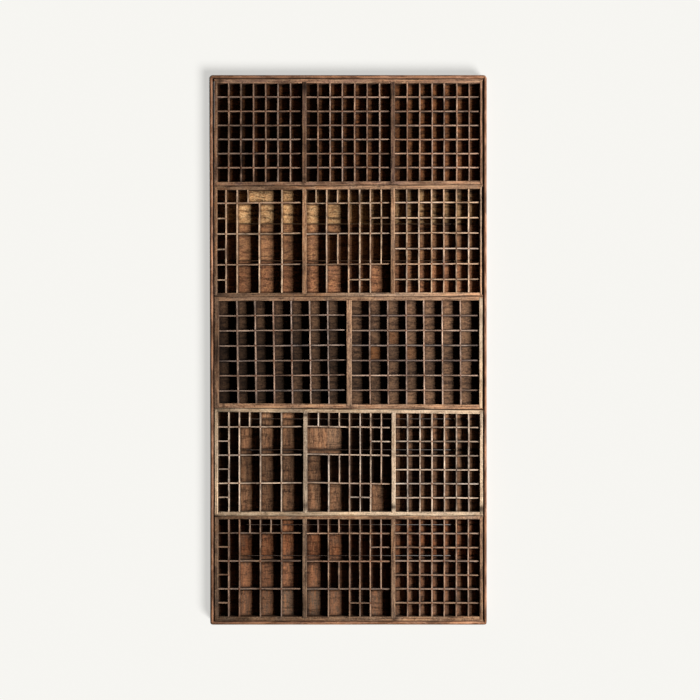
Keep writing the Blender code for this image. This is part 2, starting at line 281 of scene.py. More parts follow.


# Unfinished hardwood, planed by hand and handled for a century: brown heartwood that has dulled and greyed,
# dark open pores along the grain, printer's ink rubbed in, grime and painted shade in the corners and down
# the sides, pale arrises worn by hands.
def agedTimber(name, look):
    material, tree, shader = newMaterial(name)
    facts = {key: addNode(tree, "ShaderNodeAttribute", attribute_name=key).outputs["Fac"]
             for key in ("tone", "worn", "joint", "weather", "grime")}
    spaces = {"grain": addNode(tree, "ShaderNodeAttribute", attribute_name="grain").outputs["Vector"],
              "room": addNode(tree, "ShaderNodeTexCoord").outputs["Object"]}
    for key, (space, sizes, detail, roughness, distortion) in timberPatterns.items():
        scaled = addNode(tree, "ShaderNodeMapping", {
            "Vector": spaces[space], "Scale": [1 / (size * mm) for size in look.get(sizes, sizes)]})
        facts[key] = addNode(tree, "ShaderNodeTexNoise", {
            "Vector": scaled.outputs[0], "Scale": 1.0, "Detail": detail, "Roughness": roughness,
            "Distortion": distortion}).outputs["Fac"]
    colour = linear(look["deep"])
    for tint, steer, span, cover, times in timberCoats:
        first, last = (look.get(level, level) for level in cover)
        amount = addNode(tree, "ShaderNodeMapRange", {
            "Value": facts[steer], "From Min": span[0], "From Max": span[1], "To Min": first, "To Max": last})
        if times:
            amount = addNode(tree, "ShaderNodeMath", {0: amount.outputs[0], 1: facts[times]},
                             operation="MULTIPLY")
        colour = addNode(tree, "ShaderNodeMix", {0: amount.outputs[0], 6: colour, 7: linear(look[tint])},
                         data_type="RGBA").outputs[2]
    bright = addNode(tree, "ShaderNodeMath", {0: facts["tone"], 1: look["toneRange"], 2: 1.0},
                     operation="MULTIPLY_ADD")
    toned = addNode(tree, "ShaderNodeHueSaturation", {"Value": bright.outputs[0], "Color": colour})
    ends = zip(("From Min", "From Max", "To Min", "To Max"), look["fibreRange"] + look["roughness"])
    rough = addNode(tree, "ShaderNodeMapRange", {"Value": facts["fibre"], **dict(ends)})
    relief = addNode(tree, "ShaderNodeMix", {0: look["bandRelief"], 2: facts["fibre"], 3: facts["figure"]})
    bump = addNode(tree, "ShaderNodeBump", {
        "Height": relief.outputs[0], "Strength": look["reliefStrength"], "Distance": look["relief"]})
    setInputs(tree, shader, {
        "Base Color": toned.outputs[0], "Roughness": rough.outputs[0], "IOR": look["ior"],
        "Specular IOR Level": look["specular"], "Normal": bump.outputs[0]})
    return material


plainTimber = {
    "pale": "#AF8461", "deep": "#644632", "grey": "#8D7767", "ink": "#2A1C14", "rubbed": "#C29C78",
    "glue": "#6B3A20", "greying": 0.5, "pores": 0.45, "smears": 0.6, "flecks": 0.5, "rubbing": 0.6,
    "scuffs": 0.5, "chalk": 0.15, "toneRange": 0.35,
    "bands": (120, 6, 6), "scrapes": (24, 7, 7), "stains": (70, 12, 12),
    "fibreRange": (0.3, 0.6),  # from a pore to a ridge, with the roughness of both
    "roughness": (0.82, 0.6),
    "ior": 1.5,
    "specular": 0.15,  # dry wood without a finish
    "bandRelief": 0.4,  # the growth bands' share of the relief
    "relief": 0.45 * mm,
    "reliefStrength": 0.55,
}
# floor boards are sawn flat: broad bands, blotches instead of streaks
flatSawn = {"bands": (26, 9, 9), "scrapes": (9, 6, 6), "flecks": 0.8, "scuffs": 0.75, "chalk": 0.65,
            "ink": "#24150D"}
# rails are sawn on the quarter: narrow bands, thin dark streaks
quarterSawn = {"bands": (140, 3.6, 3.6), "stains": (95, 4.2, 4.2), "scrapes": (32, 4, 4), "smears": 0.75,
               "scuffs": 0.6, "flecks": 0.75, "chalk": 0.5}
# two floors have bands and scrapes across the grain
crossScraped = {"scrapes": (3.5, 45, 9), "bands": (12, 60, 12)}
# material, its pale, deep, grey and rubbed colours, and what else sets it apart from plain timber
timberLooks = {
    "frame": ("oiled mahogany", "#B57C54 #6E4630 #86634F #C8987A",
              {"greying": 0.25, "flecks": 0.3, "smears": 0.5}),
    "upright": ("sawn pine", "#BE9367 #705338 #86715C", {"flecks": 0.2}),
    "rail1": ("dull walnut rail", "#C28C68 #73503F #8E7068", {}),
    "rail2": ("brown oak rail", "#C0895F #744D36 #99826F", {}),
    "rail3": ("pink beech rail", "#C3906A #77513C #857164", {}),
    "rail4": ("pale beech rail", "#E4C09A #AE8A67 #B8A492 #ECD2B0",
              {"greying": 0.4, "smears": 0.5, "pores": 0.3, "flecks": 0.6}),
    "rail5": ("weathered oak rail", "#AE7F5C #674734 #7F6B5D", {"greying": 0.7}),
    "slat1": ("dull walnut slat", "#BE9376 #7F5D48 #8F7B6F #D2AE92", {}),
    "slat2": ("brown oak slat", "#E0B690 #9C775A #AE9A8C #E8C8A6", {}),
    "slat3": ("pink beech slat", "#CAA58B #876A58 #978983 #D8BAA2", {}),
    "slat4": ("pale beech slat", "#ECCAAB #AE8E76 #BAAA9E #F1D9BD", {}),
    "slat5": ("weathered oak slat", "#B48E74 #795C4A #8F7D73", {"greying": 0.65}),
    "floor1": ("inked pine floor", "#9C603A #643B23 #66442C #AC7446", {}),
    "floor2top": ("honey pine floor", "#D09C68 #9E7048 #967150 #E2BC88", {"flecks": 0.85, "smears": 0.8}),
    "floor2middle": ("brown pine floor", "#C1865D #885A40 #8D6B54 #D49D6A", {"flecks": 0.7}),
    "floor2bottom": ("red pine floor", "#B07552 #7A4F37 #805F4C #C68C5E", {}),
    "floor3": ("smoked pine floor", "#806045 #523A29 #564538 #966F53",
               {"glue": "#A5642F", "flecks": 0.7, "smears": 0.7}),
    "floor4": ("rubbed pine floor", "#B27C57 #674633 #7C624F #C4946C", crossScraped),
    "floor5": ("russet pine floor", "#B66F47 #6C3F28 #83705E #C3855A", crossScraped),
}
sawnLooks = {"floor": flatSawn, "rail": quarterSawn}
timbers = {}
for key, (name, tints, look) in timberLooks.items():
    colours = zip(("pale", "deep", "grey", "rubbed"), tints.split())
    sawn = sawnLooks.get(key[:5].rstrip("12345"), {})
    timbers[key] = agedTimber(name, {**plainTimber, **sawn, **dict(colours), **look})


ironLook = {
    "dark": "#1E1713", "rust": "#4A3022", "metallic": 0.35, "roughness": 0.7,
    "grit": 0.7 * mm,  # grain of the rust
    "crust": 0.2 * mm,
    "crustStrength": 0.4,
}


# Iron nails: forged, rusted dark brown, with a dry uneven skin
def rustedIron(look):
    material, tree, shader = newMaterial("rusted iron nail")
    place = addNode(tree, "ShaderNodeTexCoord").outputs["Object"]
    scaled = addNode(tree, "ShaderNodeMapping", {"Vector": place, "Scale": [1 / look["grit"]] * 3})
    crust = addNode(tree, "ShaderNodeTexNoise", {
        "Vector": scaled.outputs[0], "Scale": 1.0, "Detail": 4}).outputs["Fac"]
    colour = addNode(tree, "ShaderNodeMix", {0: crust, 6: linear(look["dark"]), 7: linear(look["rust"])},
                     data_type="RGBA").outputs[2]
    bump = addNode(tree, "ShaderNodeBump", {
        "Height": crust, "Strength": look["crustStrength"], "Distance": look["crust"]})
    setInputs(tree, shader, {
        "Base Color": colour, "Metallic": look["metallic"], "Roughness": look["roughness"],
        "Normal": bump.outputs[0]})
    return material


ironNail = rustedIron(ironLook)
print("materials mixed:", len(timbers) + 1)


# Smooth random line: random heights every period, joined by cosine steps
def wander(along, period, amount, seed):
    draw = np.random.default_rng(seed)
    t = (along - along.min()) / period + draw.uniform()
    heights = draw.uniform(-1, 1, int(t.max()) + 3)
    step = t.astype(int)
    ease = (1 - np.cos(np.pi * (t - step))) / 2
    return amount * (heights[step] * (1 - ease) + heights[step + 1] * ease)


# wear and dirt round a board's section
sectionWear = {
    "arris": (0.35, 0.65),  # wear at the ends of an arris, and what its middle has more
    "face": 0.25,
    "dirtAndShadeFrom": 0.98,  # sides are darkened by ink grime and painted shade behind this share of the depth, fully so a span further back
    "dirtAndShadeSpan": 0.08,
    "sideDirtAndShade": 0.92,
    "backDirt": (0.2, 0.6),
    "sheetEdge": 0.8,  # the same for the back of a sheet, along its edges and between them
    "sheetBack": 0.1,
    "sheetInner": 0.96,  # between them starts at this share of the half width
}


# Section of a board: half of it from the back face round to the middle of the front, then its mirror image.
# side and depth place a point on the plain rectangle, cut and drop move it by the arris radius.
def sectionOf(cornerSteps, faceSides, sideDepths, backRound=0.3):
    turn = np.linspace(0, np.pi / 2, cornerSteps)
    faces, walls = len(faceSides), len(sideDepths)
    side = np.r_[[-1, -1], -np.ones(walls + cornerSteps), faceSides]
    depth = np.r_[[0, 0], sideDepths, np.ones(cornerSteps + faces)]
    cut = np.r_[[backRound, 0], np.zeros(walls), 1 - np.cos(turn), np.zeros(faces)]
    drop = np.r_[[0, backRound], np.zeros(walls), np.sin(turn) - 1, np.zeros(faces)]
    least, more = sectionWear["arris"]
    worn = np.r_[np.zeros(walls + 2), least + more * np.sin(2 * turn), np.full(faces, sectionWear["face"])]
    # painted shade with grime: the sides darken behind the front edge, so the shaded insides of the boxes
    # stay dark
    grime = np.clip((sectionWear["dirtAndShadeFrom"] - depth) / sectionWear["dirtAndShadeSpan"], 0, sectionWear["sideDirtAndShade"])
    grime[:2] = sectionWear["backDirt"]
    mirror = {"depth": depth, "drop": drop, "worn": worn, "grime": grime}
    return {"side": np.r_[side, -side[::-1]], "cut": np.r_[cut, -cut[::-1]],
            **{key: np.r_[half, half[::-1]] for key, half in mirror.items()}}


slatSection = sectionOf(3, [-0.2], [0.4, 0.9])
railSection = sectionOf(5, [-0.6, -0.36, -0.12], [0.3, 0.7, 0.92])
frameSection = sectionOf(6, [-0.06], [0.3, 0.6, 0.85], 0.12)
boardSection = sectionOf(3, np.linspace(-0.97, -0.03, 12), [0.5])


# Section of a board whose front face has points at given shares of its half width; its back is clean but for
# a dirty line along both edges
def sheetSection(faceSides):
    plain = sectionOf(3, [], [0.5])
    plain["grime"][[0, 1, -2, -1]] = sectionWear["sheetEdge"]
    half, count = len(plain["side"]) // 2, len(faceSides)
    face = {"side": faceSides, "depth": np.ones(count), "worn": np.full(count, sectionWear["face"])}
    back = {"side": sectionWear["sheetInner"], "grime": sectionWear["sheetBack"]}
    none = np.zeros(count)
    return {key: np.r_[-back["side"] if key == "side" else back.get(key, 0), plain[key][:half],
                       face.get(key, none), plain[key][half:], back.get(key, 0)] for key in plain}


endShares = np.array([0, 0.15, 0.5, 1])  # where a rounded end has its stations
endRoom = 1.3  # how far from it the others keep, in lengths of the round


# Stations along a board: even steps, both ends close up, and any places that need their own
def stationsOf(start, stop, step, ease, extra=()):
    even = np.linspace(start, stop, max(int((stop - start) / step), 2) + 1)[1:-1]
    ends = endShares * ease
    inner = np.r_[even, np.ravel(extra)]
    inner = inner[(inner > start + endRoom * ease) & (inner < stop - endRoom * ease)]
    return np.unique(np.r_[start + ends, inner, stop - ends])


# A section carried along a straight board: across = middle + side * half width + cut * radius,
# depth = height * depth + drop * radius, both shrunk by a quarter round at the two ends; radius may be a
# pair, for the lower and the upper arris
def carry(along, low, high, back, height, radius, section, ease=0.6 * mm, lean=0.0):
    one = np.ones_like(along)
    low, high, height = low * one, high * one, height * one
    lower, upper = radius if isinstance(radius, tuple) else (radius, radius)
    radius = np.where(section["side"] < 0, (lower * one)[:, None], (upper * one)[:, None])
    reach = np.clip(np.minimum(along - along[0], along[-1] - along) / ease, 0, 1)
    inset = ease * (1 - np.sqrt(1 - (1 - reach) ** 2))
    middle, half = (low + high) / 2, (high - low) / 2 - inset
    tall = height - inset
    across = middle[:, None] + half[:, None] * section["side"] + radius * section["cut"]
    depth = tall[:, None] * section["depth"] + radius * section["drop"]
    across = across + lean * depth / height.max()
    return along[:, None] + 0 * across, across, back - depth


# Faces over a closed grid of n rings of m points, with each end capped by a ladder of quads
def quadsOf(n, m):
    index = np.arange(n * m).reshape(n, m)
    after = np.roll(index, -1, axis=1)
    skin = np.stack([index[:-1], index[1:], after[1:], after[:-1]], -1).reshape(-1, 4)
    rung = np.arange(m // 2 - 1)
    ladder = np.stack([rung, rung + 1, m - 2 - rung, m - 1 - rung], -1)
    return np.concatenate([skin, ladder, index[-1][ladder[:, ::-1]]])


# Quads turned so that the closed shape has a positive volume
def outward(points, quads):
    a, b, c, d = (points[quads[:, i]] for i in range(4))
    volume = (a * np.cross(b, c)).sum() + (a * np.cross(c, d)).sum()
    return quads if volume > 0 else quads[:, ::-1]


# One member of a piece: its points in the room, with facts for the timber material
def member(axis, along, across, depth, section, seed, tone=0.0, weather=0.0, joint=0.0, grime=0.0):
    points = np.stack([along, depth, across] if axis == "x" else [across, depth, along], -1).reshape(-1, 3)
    grain = np.stack([along, across, depth], -1) + np.random.default_rng(seed).uniform(-3, 3, 3)
    facts = {"tone": tone, "weather": weather, "joint": joint, "worn": np.atleast_2d(section["worn"]),
             "grime": np.atleast_2d(np.maximum(section["grime"], grime))}
    facts = {key: np.asarray(fact)[:, None] if np.ndim(fact) == 1 else fact for key, fact in facts.items()}
    return {"points": points, "quads": outward(points, quadsOf(*along.shape)), "grain": grain.reshape(-1, 3),
            **{key: np.broadcast_to(fact, along.shape).ravel() for key, fact in facts.items()}}


crispFrom = 38  # degrees between two faces


# Members joined into one mesh, which stands for its solid and moves with its case
def addPiece(name, members, material, body, nodes=()):
    starts = np.cumsum([0] + [len(part["points"]) for part in members[:-1]])
    points = np.concatenate([part["points"] for part in members])
    quads = np.concatenate([part["quads"] + start for part, start in zip(members, starts)])
    mesh = bpy.data.meshes.new(name)
    mesh.from_pydata(points, [], quads)
    for key in [key for key in members[0] if key not in ("points", "quads")]:
        kind, field = ("FLOAT_VECTOR", "vector") if key == "grain" else ("FLOAT", "value")
        fact = mesh.attributes.new(key, kind, "POINT")
        fact.data.foreach_set(field, np.concatenate([part[key] for part in members]).ravel())
    mesh.polygons.foreach_set("use_smooth", np.ones(len(quads), bool))
    mesh.set_sharp_from_angle(angle=math.radians(crispFrom))
    mesh.materials.append(material)
    piece = addObject(name, mesh)
    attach(piece, body)
    if nodes:
        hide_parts(*nodes)
    return piece


railWear = {
    "radius": 1.5 * mm,  # rounded arris
    "radiusDrift": (40 * mm, 0.6 * mm),  # waves along a rail: their length and height
    "innerDrift": (55 * mm, 0.35 * mm),  # edges of the long rails towards the boxes and away from them
    "outerDrift": (80 * mm, 0.35 * mm),
    "uprightDrift": (70 * mm, 0.35 * mm),
    "faceDrift": (90 * mm, 0.25 * mm),  # front faces dip
    "toneDrifts": [(140 * mm, 0.6), (34 * mm, 0.55)],
    "greyDrift": (170 * mm, 0.5),
    "outerRound": 0.5 * mm,  # edges against the next case are rounder
    "outerDirtAndShade": 0.95,  # dirt and painted shade in the joint between two cases, and how far round the arris it goes
    "dirtAndShadeSpread": 0.7,
    "sideSpread": 0.5,  # the same along the frame
    "step": 5 * mm,
    "endRound": 0.8 * mm,
    "cornerLap": 5 * mm,  # top and bottom rails lap over the side rails
    "gap": 0.3 * mm,
    "housing": 4 * mm,  # partitions are let into the rails this far
    "bite": 0.05 * mm,  # half the width of a housing's sharp corner
}
caseNames = [f"case_{number}" for number in range(1, 6)]
partitionsOf = {**dict.fromkeys(caseNames, ("left", "right")), "case_3": ("middle",)}
sectionsOf = {**dict.fromkeys(caseNames, ("left", "middle", "right")), "case_3": ("left", "right")}

sides = ("top", "bottom", "left", "right")
railsOf = {case: [f"{case}_{side}_rail" for side in sides]
           + [f"{case}_{place}_partition" for place in partitionsOf[case]] for case in caseNames}
railsOf["frame"] = [f"frame_{side}_board" for side in sides]
# brightness of rails and partitions at their middle, and its change towards the right or upper end, in the
# order above
caseTones = {
    "case_1": [(0.4, -0.6), (-0.3, 0.1), (-0.3, 0.1), (-0.2, 0), (-1.4, -0.5), (-1.3, -0.3)],
    "case_2": [(0.2, 0.7), (0.4, 1.4), (-0.8, 0), (0.9, -0.2), (0.5, 0.1), (0, 0)],
    "case_3": [(-0.1, 0.5), (0.6, -0.1), (-1.0, -0.1), (-0.1, -0.2), (1.1, 0.9)],
    "case_4": [(-0.35, 0.85), (0.0, 0.5), (0.4, 0), (0.0, -0.1), (0.1, 0), (0.45, 0)],
    "case_5": [(0.0, 1.4), (-0.2, 0.7), (-0.9, 0.3), (0.1, 0.3), (-0.5, 0.5), (-0.3, -0.1)],
    "frame": [(0.15, 0.2), (0.5, 0.2), (0.5, 0), (-0.6, 0)],
}
railTones = {name: tone for case in railsOf for name, tone in zip(railsOf[case], caseTones[case])}
# how far single rails have greyed
railGreys = {
    "case_2_right_rail": 0.6, "case_4_left_partition": 0.5, "case_4_right_rail": 0.4,
    "case_4_right_partition": 0.25, "case_5_left_partition": 0.4, "case_1_right_partition": 0.3,
    "case_2_bottom_rail": 0.35, "case_5_right_partition": 0.3,
}
# rails made up later from a paler board
railTimbers = {"case_3_right_rail": "rail4"}
# rails whose joint dirt and painted shade go further round the arris
railDirtAndShadeSpreads = {
    "case_1_bottom_rail": 1.1, "case_2_top_rail": 1.1, "case_3_bottom_rail": 1.2, "case_4_top_rail": 1.2,
    "case_5_bottom_rail": 2.5,
}
# ink smudges and knots: share of the way from the middle to the right or upper end, width in millimetres, and
# amount
smudges = {
    "case_1_left_partition": [(0.9, 34, 0.9), (-0.92, 12, 0.8)], "case_1_right_partition": [(0.8, 44, 0.7)],
    "case_4_left_partition": [(0.93, 18, 1), (-0.86, 30, 0.9)],
    "case_4_right_partition": [(-0.88, 24, 0.95)], "case_4_right_rail": [(-0.9, 26, 0.9)],
    "case_1_top_rail": [(-0.96, 22, 0.9), (0.2, 34, 0.5)],
    "case_2_bottom_rail": [(-0.97, 76, 0.9), (-0.42, 130, 0.45)], "case_3_left_rail": [(0.02, 80, 0.75)],
    "case_3_bottom_rail": [(-0.93, 11, 0.9), (-0.45, 26, 0.4), (0.02, 14, 0.7)],
    "case_5_left_partition": [(-0.75, 60, 0.6)], "case_5_bottom_rail": [(-0.8, 80, 0.5), (0.34, 22, 0.75)],
    "case_1_bottom_rail": [(-0.34, 14, 0.75), (0.31, 18, 0.75)], "case_2_top_rail": [(-0.5, 100, 0.35)],
    "case_4_bottom_rail": [(-0.62, 16, 0.5), (-0.42, 110, 0.3)], "case_2_left_partition": [(-0.2, 12, 0.5)],
}


def seedOf(text):
    return sum((i + 1) * ord(letter) for i, letter in enumerate(text)) % 100003


# A rail's brightness along its length: a straight slope with two sizes of waves
def toneAlong(name, along):
    seed = seedOf(name)
    base, slope = railTones.get(name, (0, 0))
    tone = base + slope * np.linspace(-1, 1, len(along))
    for i, drift in enumerate(railWear["toneDrifts"]):
        tone = tone + wander(along, *drift, seed + 7 + i)
    return tone


def greyAlong(name, along):
    return np.clip(railGreys.get(name, 0) + wander(along, *railWear["greyDrift"], seedOf(name) + 5), 0, 1)


# Smudges along a rail: each is a bell of its own width
def smudgeAlong(name, along):
    marks = np.array(smudges.get(name, [(0, 1, 0)]))
    middle, half = (along[0] + along[-1]) / 2, (along[-1] - along[0]) / 2
    offset = (along[:, None] - middle - marks[:, 0] * half) / (marks[:, 1] * mm / 2)
    return (marks[:, 2] * np.exp(-offset ** 2)).max(1)[:, None]


# Dirt and painted shade along one edge of a board: full on its side, fading round its arris; spread 1 ends it
# at the face
def edgeDirtAndShade(section, upper, amount, spread):
    half = len(section["side"]) // 2
    here = np.arange(2 * half) >= half if upper else np.arange(2 * half) < half
    return amount * here * (np.abs(section["side"]) == 1) * np.clip(1 - np.abs(section["cut"]) / spread, 0, 1)


# how far the left and right edges of single uprights stand off the plan, in millimetres
nudges = {
    "case_1_left_rail": (0, -2.2), "case_1_right_rail": (2.6, -1.5), "case_2_left_rail": (0, -2.2),
    "case_2_right_rail": (2.6, -3.2), "case_3_right_rail": (3.0, -1.0), "case_4_left_rail": (0, -1.2),
    "case_4_right_rail": (1.0, -0.6), "case_5_right_rail": (0.8, -1.4), "case_3_middle_partition": (2, 2),
    "case_4_left_partition": (2.2, 1.6), "case_4_right_partition": (1.5, 1.0),
}
# lift of the rails where two cases meet: millimetres at the middle, and for each metre to the right
lifts = {
    "case_1_bottom": (1.3, 4.6), "case_2_top": (1.3, 4.6), "case_2_bottom": (2.3, 2.5),
    "case_3_top": (2.3, 2.5), "case_3_bottom": (1.2, -5.5), "case_4_top": (0.6, -7.5),
}
# rails that are broader towards the boxes than their plan, in millimetres
broader = {"case_1_top_rail": 1, "case_3_bottom_rail": 3, "case_5_top_rail": -1.5, "case_5_bottom_rail": 2}


def nudgedBox(name):
    low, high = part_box(name)
    left, right = nudges.get(name, (0, 0))
    return low + Vector((left * mm, 0, 0)), high + Vector((right * mm, 0, 0))


def liftOf(case, side, x):
    middle, slope = lifts.get(f"{case}_{side}", (0, 0))
    return (middle + slope * x) * mm


# Arris radius and depth of a rail along its length, from its box
def railDrift(along, low, high, seed, wear):
    radius = wear["radius"] + wander(along, *wear["radiusDrift"], seed + 2)
    return radius, high.y - low.y - np.abs(wander(along, *wear["faceDrift"], seed + 3))


def addRail(case, name, axis, along, grid, dirtAndShade):
    dirtAndShade = np.maximum(dirtAndShade, smudgeAlong(name, along))
    part = member(axis, *grid, railSection, seedOf(name), toneAlong(name, along), greyAlong(name, along),
                  grime=dirtAndShade)
    timber = timbers[railTimbers.get(name, "rail" + case[-1])]
    return addPiece(name + "_timber", [part], timber, case, [name])


# Top or bottom rail: cut back to the corner lap at its ends and to the housings where partitions come in
def addLongRail(case, side, wear):
    name = f"{case}_{side}_rail"
    low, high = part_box(name)
    seed = seedOf(name)
    bite, gap = wear["bite"], wear["gap"]
    laps = [nudgedBox(f"{case}_left_rail")[1].x + gap, nudgedBox(f"{case}_right_rail")[0].x - gap]
    beds = [nudgedBox(f"{case}_{place}_partition") for place in partitionsOf[case]]
    beds = [(first.x - gap, last.x + gap) for first, last in beds]
    corners = np.array(laps + [edge for bed in beds for edge in bed])
    along = stationsOf(low.x, high.x, wear["step"], wear["endRound"], [corners - bite, corners + bite])
    lost = np.where((along < laps[0]) | (along > laps[1]), high.z - low.z - wear["cornerLap"], 0)
    for first, last in beds:
        lost = np.where((along > first) & (along < last), wear["housing"], lost)
    inner = (wander(along, *wear["innerDrift"], seed) - broader.get(name, 0) * mm) * (lost == 0) + lost
    outer = np.abs(wander(along, *wear["outerDrift"], seed + 1))
    radius, tall = railDrift(along, low, high, seed, wear)
    soft = radius + wear["outerRound"]
    lift = liftOf(case, side, along)
    if side == "top":
        span, rounds = (low.z + inner + lift, high.z - outer + lift), (radius, soft)
    else:
        span, rounds = (low.z + outer + lift, high.z - inner + lift), (soft, radius)
    grid = carry(along, *span, high.y, tall, rounds, railSection)
    # painted shade with dirt: the arris against the next case is darker, as the shadow in that joint
    spread = railDirtAndShadeSpreads.get(name, wear["dirtAndShadeSpread"])
    dirtAndShade = edgeDirtAndShade(railSection, side == "top", wear["outerDirtAndShade"], spread)
    return addRail(case, name, "x", along, grid, dirtAndShade)


# Left or right rail, or a partition
def addUprightRail(case, label, wear):
    name = f"{case}_{label}"
    low, high = nudgedBox(name)
    seed = seedOf(name)
    bottom, top = (liftOf(case, side, (low.x + high.x) / 2) for side in ("bottom", "top"))
    along = stationsOf(low.z + bottom, high.z + top, wear["step"], wear["endRound"])
    left, right = (np.abs(wander(along, *wear["uprightDrift"], seed + i)) for i in (0, 1))
    radius, tall = railDrift(along, low, high, seed, wear)
    grid = carry(along, low.x + left, high.x - right, high.y, tall, radius, railSection)
    # side rails: painted shade with dirt along the edge beside the frame, as the shadow in that gap
    amount = wear["outerDirtAndShade"] * label.endswith("rail")
    dirtAndShade = edgeDirtAndShade(railSection, label == "right_rail", amount, wear["sideSpread"])
    return addRail(case, name, "z", along, grid, dirtAndShade)


for case in caseNames:
    for side in sides[:2]:
        addLongRail(case, side, railWear)
    for label in ["left_rail", "right_rail"] + [f"{place}_partition" for place in partitionsOf[case]]:
        addUprightRail(case, label, railWear)
print("rails and partitions carved")

slatWear = {
    "thickness": 4.6 * mm,
    "thicknessDrift": (60 * mm, 0.35 * mm),  # waves along a slat: their length and height
    "placeDrift": (45 * mm, 0.3 * mm),
    "radiusDrift": (30 * mm, 0.3),
    "toneDrift": (60 * mm, 0.6),
    "greyDrift": (110 * mm, 0.4),
    "blotches": (10 * mm, 1.0),  # more brightness waves, on the uprights only
    "hollowRange": (0.1, 1),  # ranges that each slat draws from
    "toneRange": (-0.8, 0.6),
    "greyRange": (-0.5, 0.7),
    "orangeRange": (-0.9, 0.5),
    "bow": 0.7 * mm,  # sideways bend over a slat's length
    "lean": 0.6 * mm,  # front edge out of plumb
    "radius": 0.95 * mm,
    "dip": 0.9 * mm,  # hollow worn into the front edge between crossings
    "under": 0.35 * mm,  # crosses lie this much below the uprights
    "letIn": 4 * mm,  # ends go this far into the rails
    "endRound": 0.5 * mm,
    "step": 7 * mm,
    "near": np.array([-3.4, -2.4, -1.2, 1.2, 2.4, 3.4]) * mm,  # stations around a crossing
    "glue": 3.4 * mm,  # glue goes this far from a crossing, and fades over this width
    "glueFade": 1.0 * mm,
    "gap": 0.3 * mm,
    "rows": 7,
    # brightness of each section's uprights and crosses, from the left
    "tones": {"case_1": [(-0.35, -0.25), (0.25, 0.15), (0.25, 0.3)],
              "case_2": [(0.65, 0.0), (0.5, -0.2), (0.1, 0.2)], "case_3": [(0.1, -0.65), (-0.3, -0.5)],
              "case_4": [(0.45, 0.05), (0.15, 0.05), (-0.55, -0.45)],
              "case_5": [(0.55, 0.05), (0.5, 0.1), (0.65, 0.1)]},
}


# How a section is laid out: move is the set's shift right and up, tilt the rise of its crosses to the right,
# slant the shift of its uprights from bottom to top, all in millimetres
def layOf(columns, uprights, crosses, trim=0, move=(0, 0), tilt=0, slant=0):
    return {"columns": columns, "uprights": uprights, "crosses": crosses, "trim": trim * mm, "move": move,
            "tilt": tilt * mm, "slant": slant * mm}


def capitals(*fit):
    whole = [(i, 0, 7) for i in range(1, 7)]
    return layOf(7, whole, whole, *fit)


def letters(uprights, crosses, *fit):
    return layOf(8, uprights, crosses, *fit)


# a slat is (place, start, end) in boxes from the left or from the top
leftUprights = [(1, 0, 7), (2, 0, 7), (4, 0, 7), (6, 0, 7), (3, 0, 1)]
leftCrosses = [(1, 0, 8), (3, 0, 8), (5, 0, 8), (2, 0, 1), (4, 0, 1), (6, 0, 1)]
unevenUprights = [(0.74, 0, 7), (1.82, 0, 7), (3.93, 1, 7), (6.06, 0, 7), (2.82, 0, 1)]
unevenCrosses = [(1, 0, 8), (3, 0, 8), (5, 0, 8), (2, 0, 0.74), (4, 0, 0.74), (6, 0, 0.74)]
pokingCrosses = leftCrosses[:3] + [(2, 0, 1.1), (4, 0, 1), (6, 0, 1.1)]
innerUprights = [(5, 0, 7), (6, 0, 7), (7, 0, 5), (1, 0, 1), (3, 0, 1), (3, 3, 5)]
middleCrosses = [(1, 0, 8), (3, 0, 8), (5, 0, 8), (2, 6, 8), (6, 4, 6)]
middleUprights = [(4, 0, 7), (2, 0, 7)] + innerUprights
openUprights = [(4, 0, 7), (2, 0, 1), (2, 3, 7)] + innerUprights
dividerLays = {
    "case_1": {"rowTrim": 0,
               "left": capitals(4, (-2.2, 1)),
               "middle": capitals(4, (0, 1)),
               "right": capitals(4, (3.8, 1))},
    "case_2": {"rowTrim": 6.8 * mm,
               "left": letters(unevenUprights, unevenCrosses, 0, (0, 1), 2.5),
               "middle": letters(middleUprights, middleCrosses, 5, (0, 1.5), 2.5),
               "right": capitals(5, (2.2, 3), 1)},
    "case_3": {"rowTrim": 2 * mm,
               "left": capitals(0, (1.5, 1), 3.5, -5),
               "right": capitals(0, (1.5, 1), 0, -2.5)},
    "case_4": {"rowTrim": 0,
               "left": letters(leftUprights, leftCrosses, 0, (-0.8, 1), 1.5),
               "middle": letters(openUprights, middleCrosses, 0, (2.8, 1), -5),
               "right": capitals(2, (3, -1.5), -1)},
    "case_5": {"rowTrim": 0,
               "left": letters(leftUprights + [(5, 0, 1)], pokingCrosses, 0, (-0.8, 1), 0.5),
               "middle": letters(middleUprights, middleCrosses, 0, (1.8, 0)),
               "right": capitals(2, (2.5, 0), -1)},
}


# Even divider places between two faces, shifted a little; the outer boxes lose the trim
def placesOf(low, high, count, trim, shift):
    pitch = (high - low + 2 * trim) / count
    inner = (low + high) / 2 + (np.arange(1, count) - count / 2) * pitch
    return np.r_[low, inner + shift * mm, high]


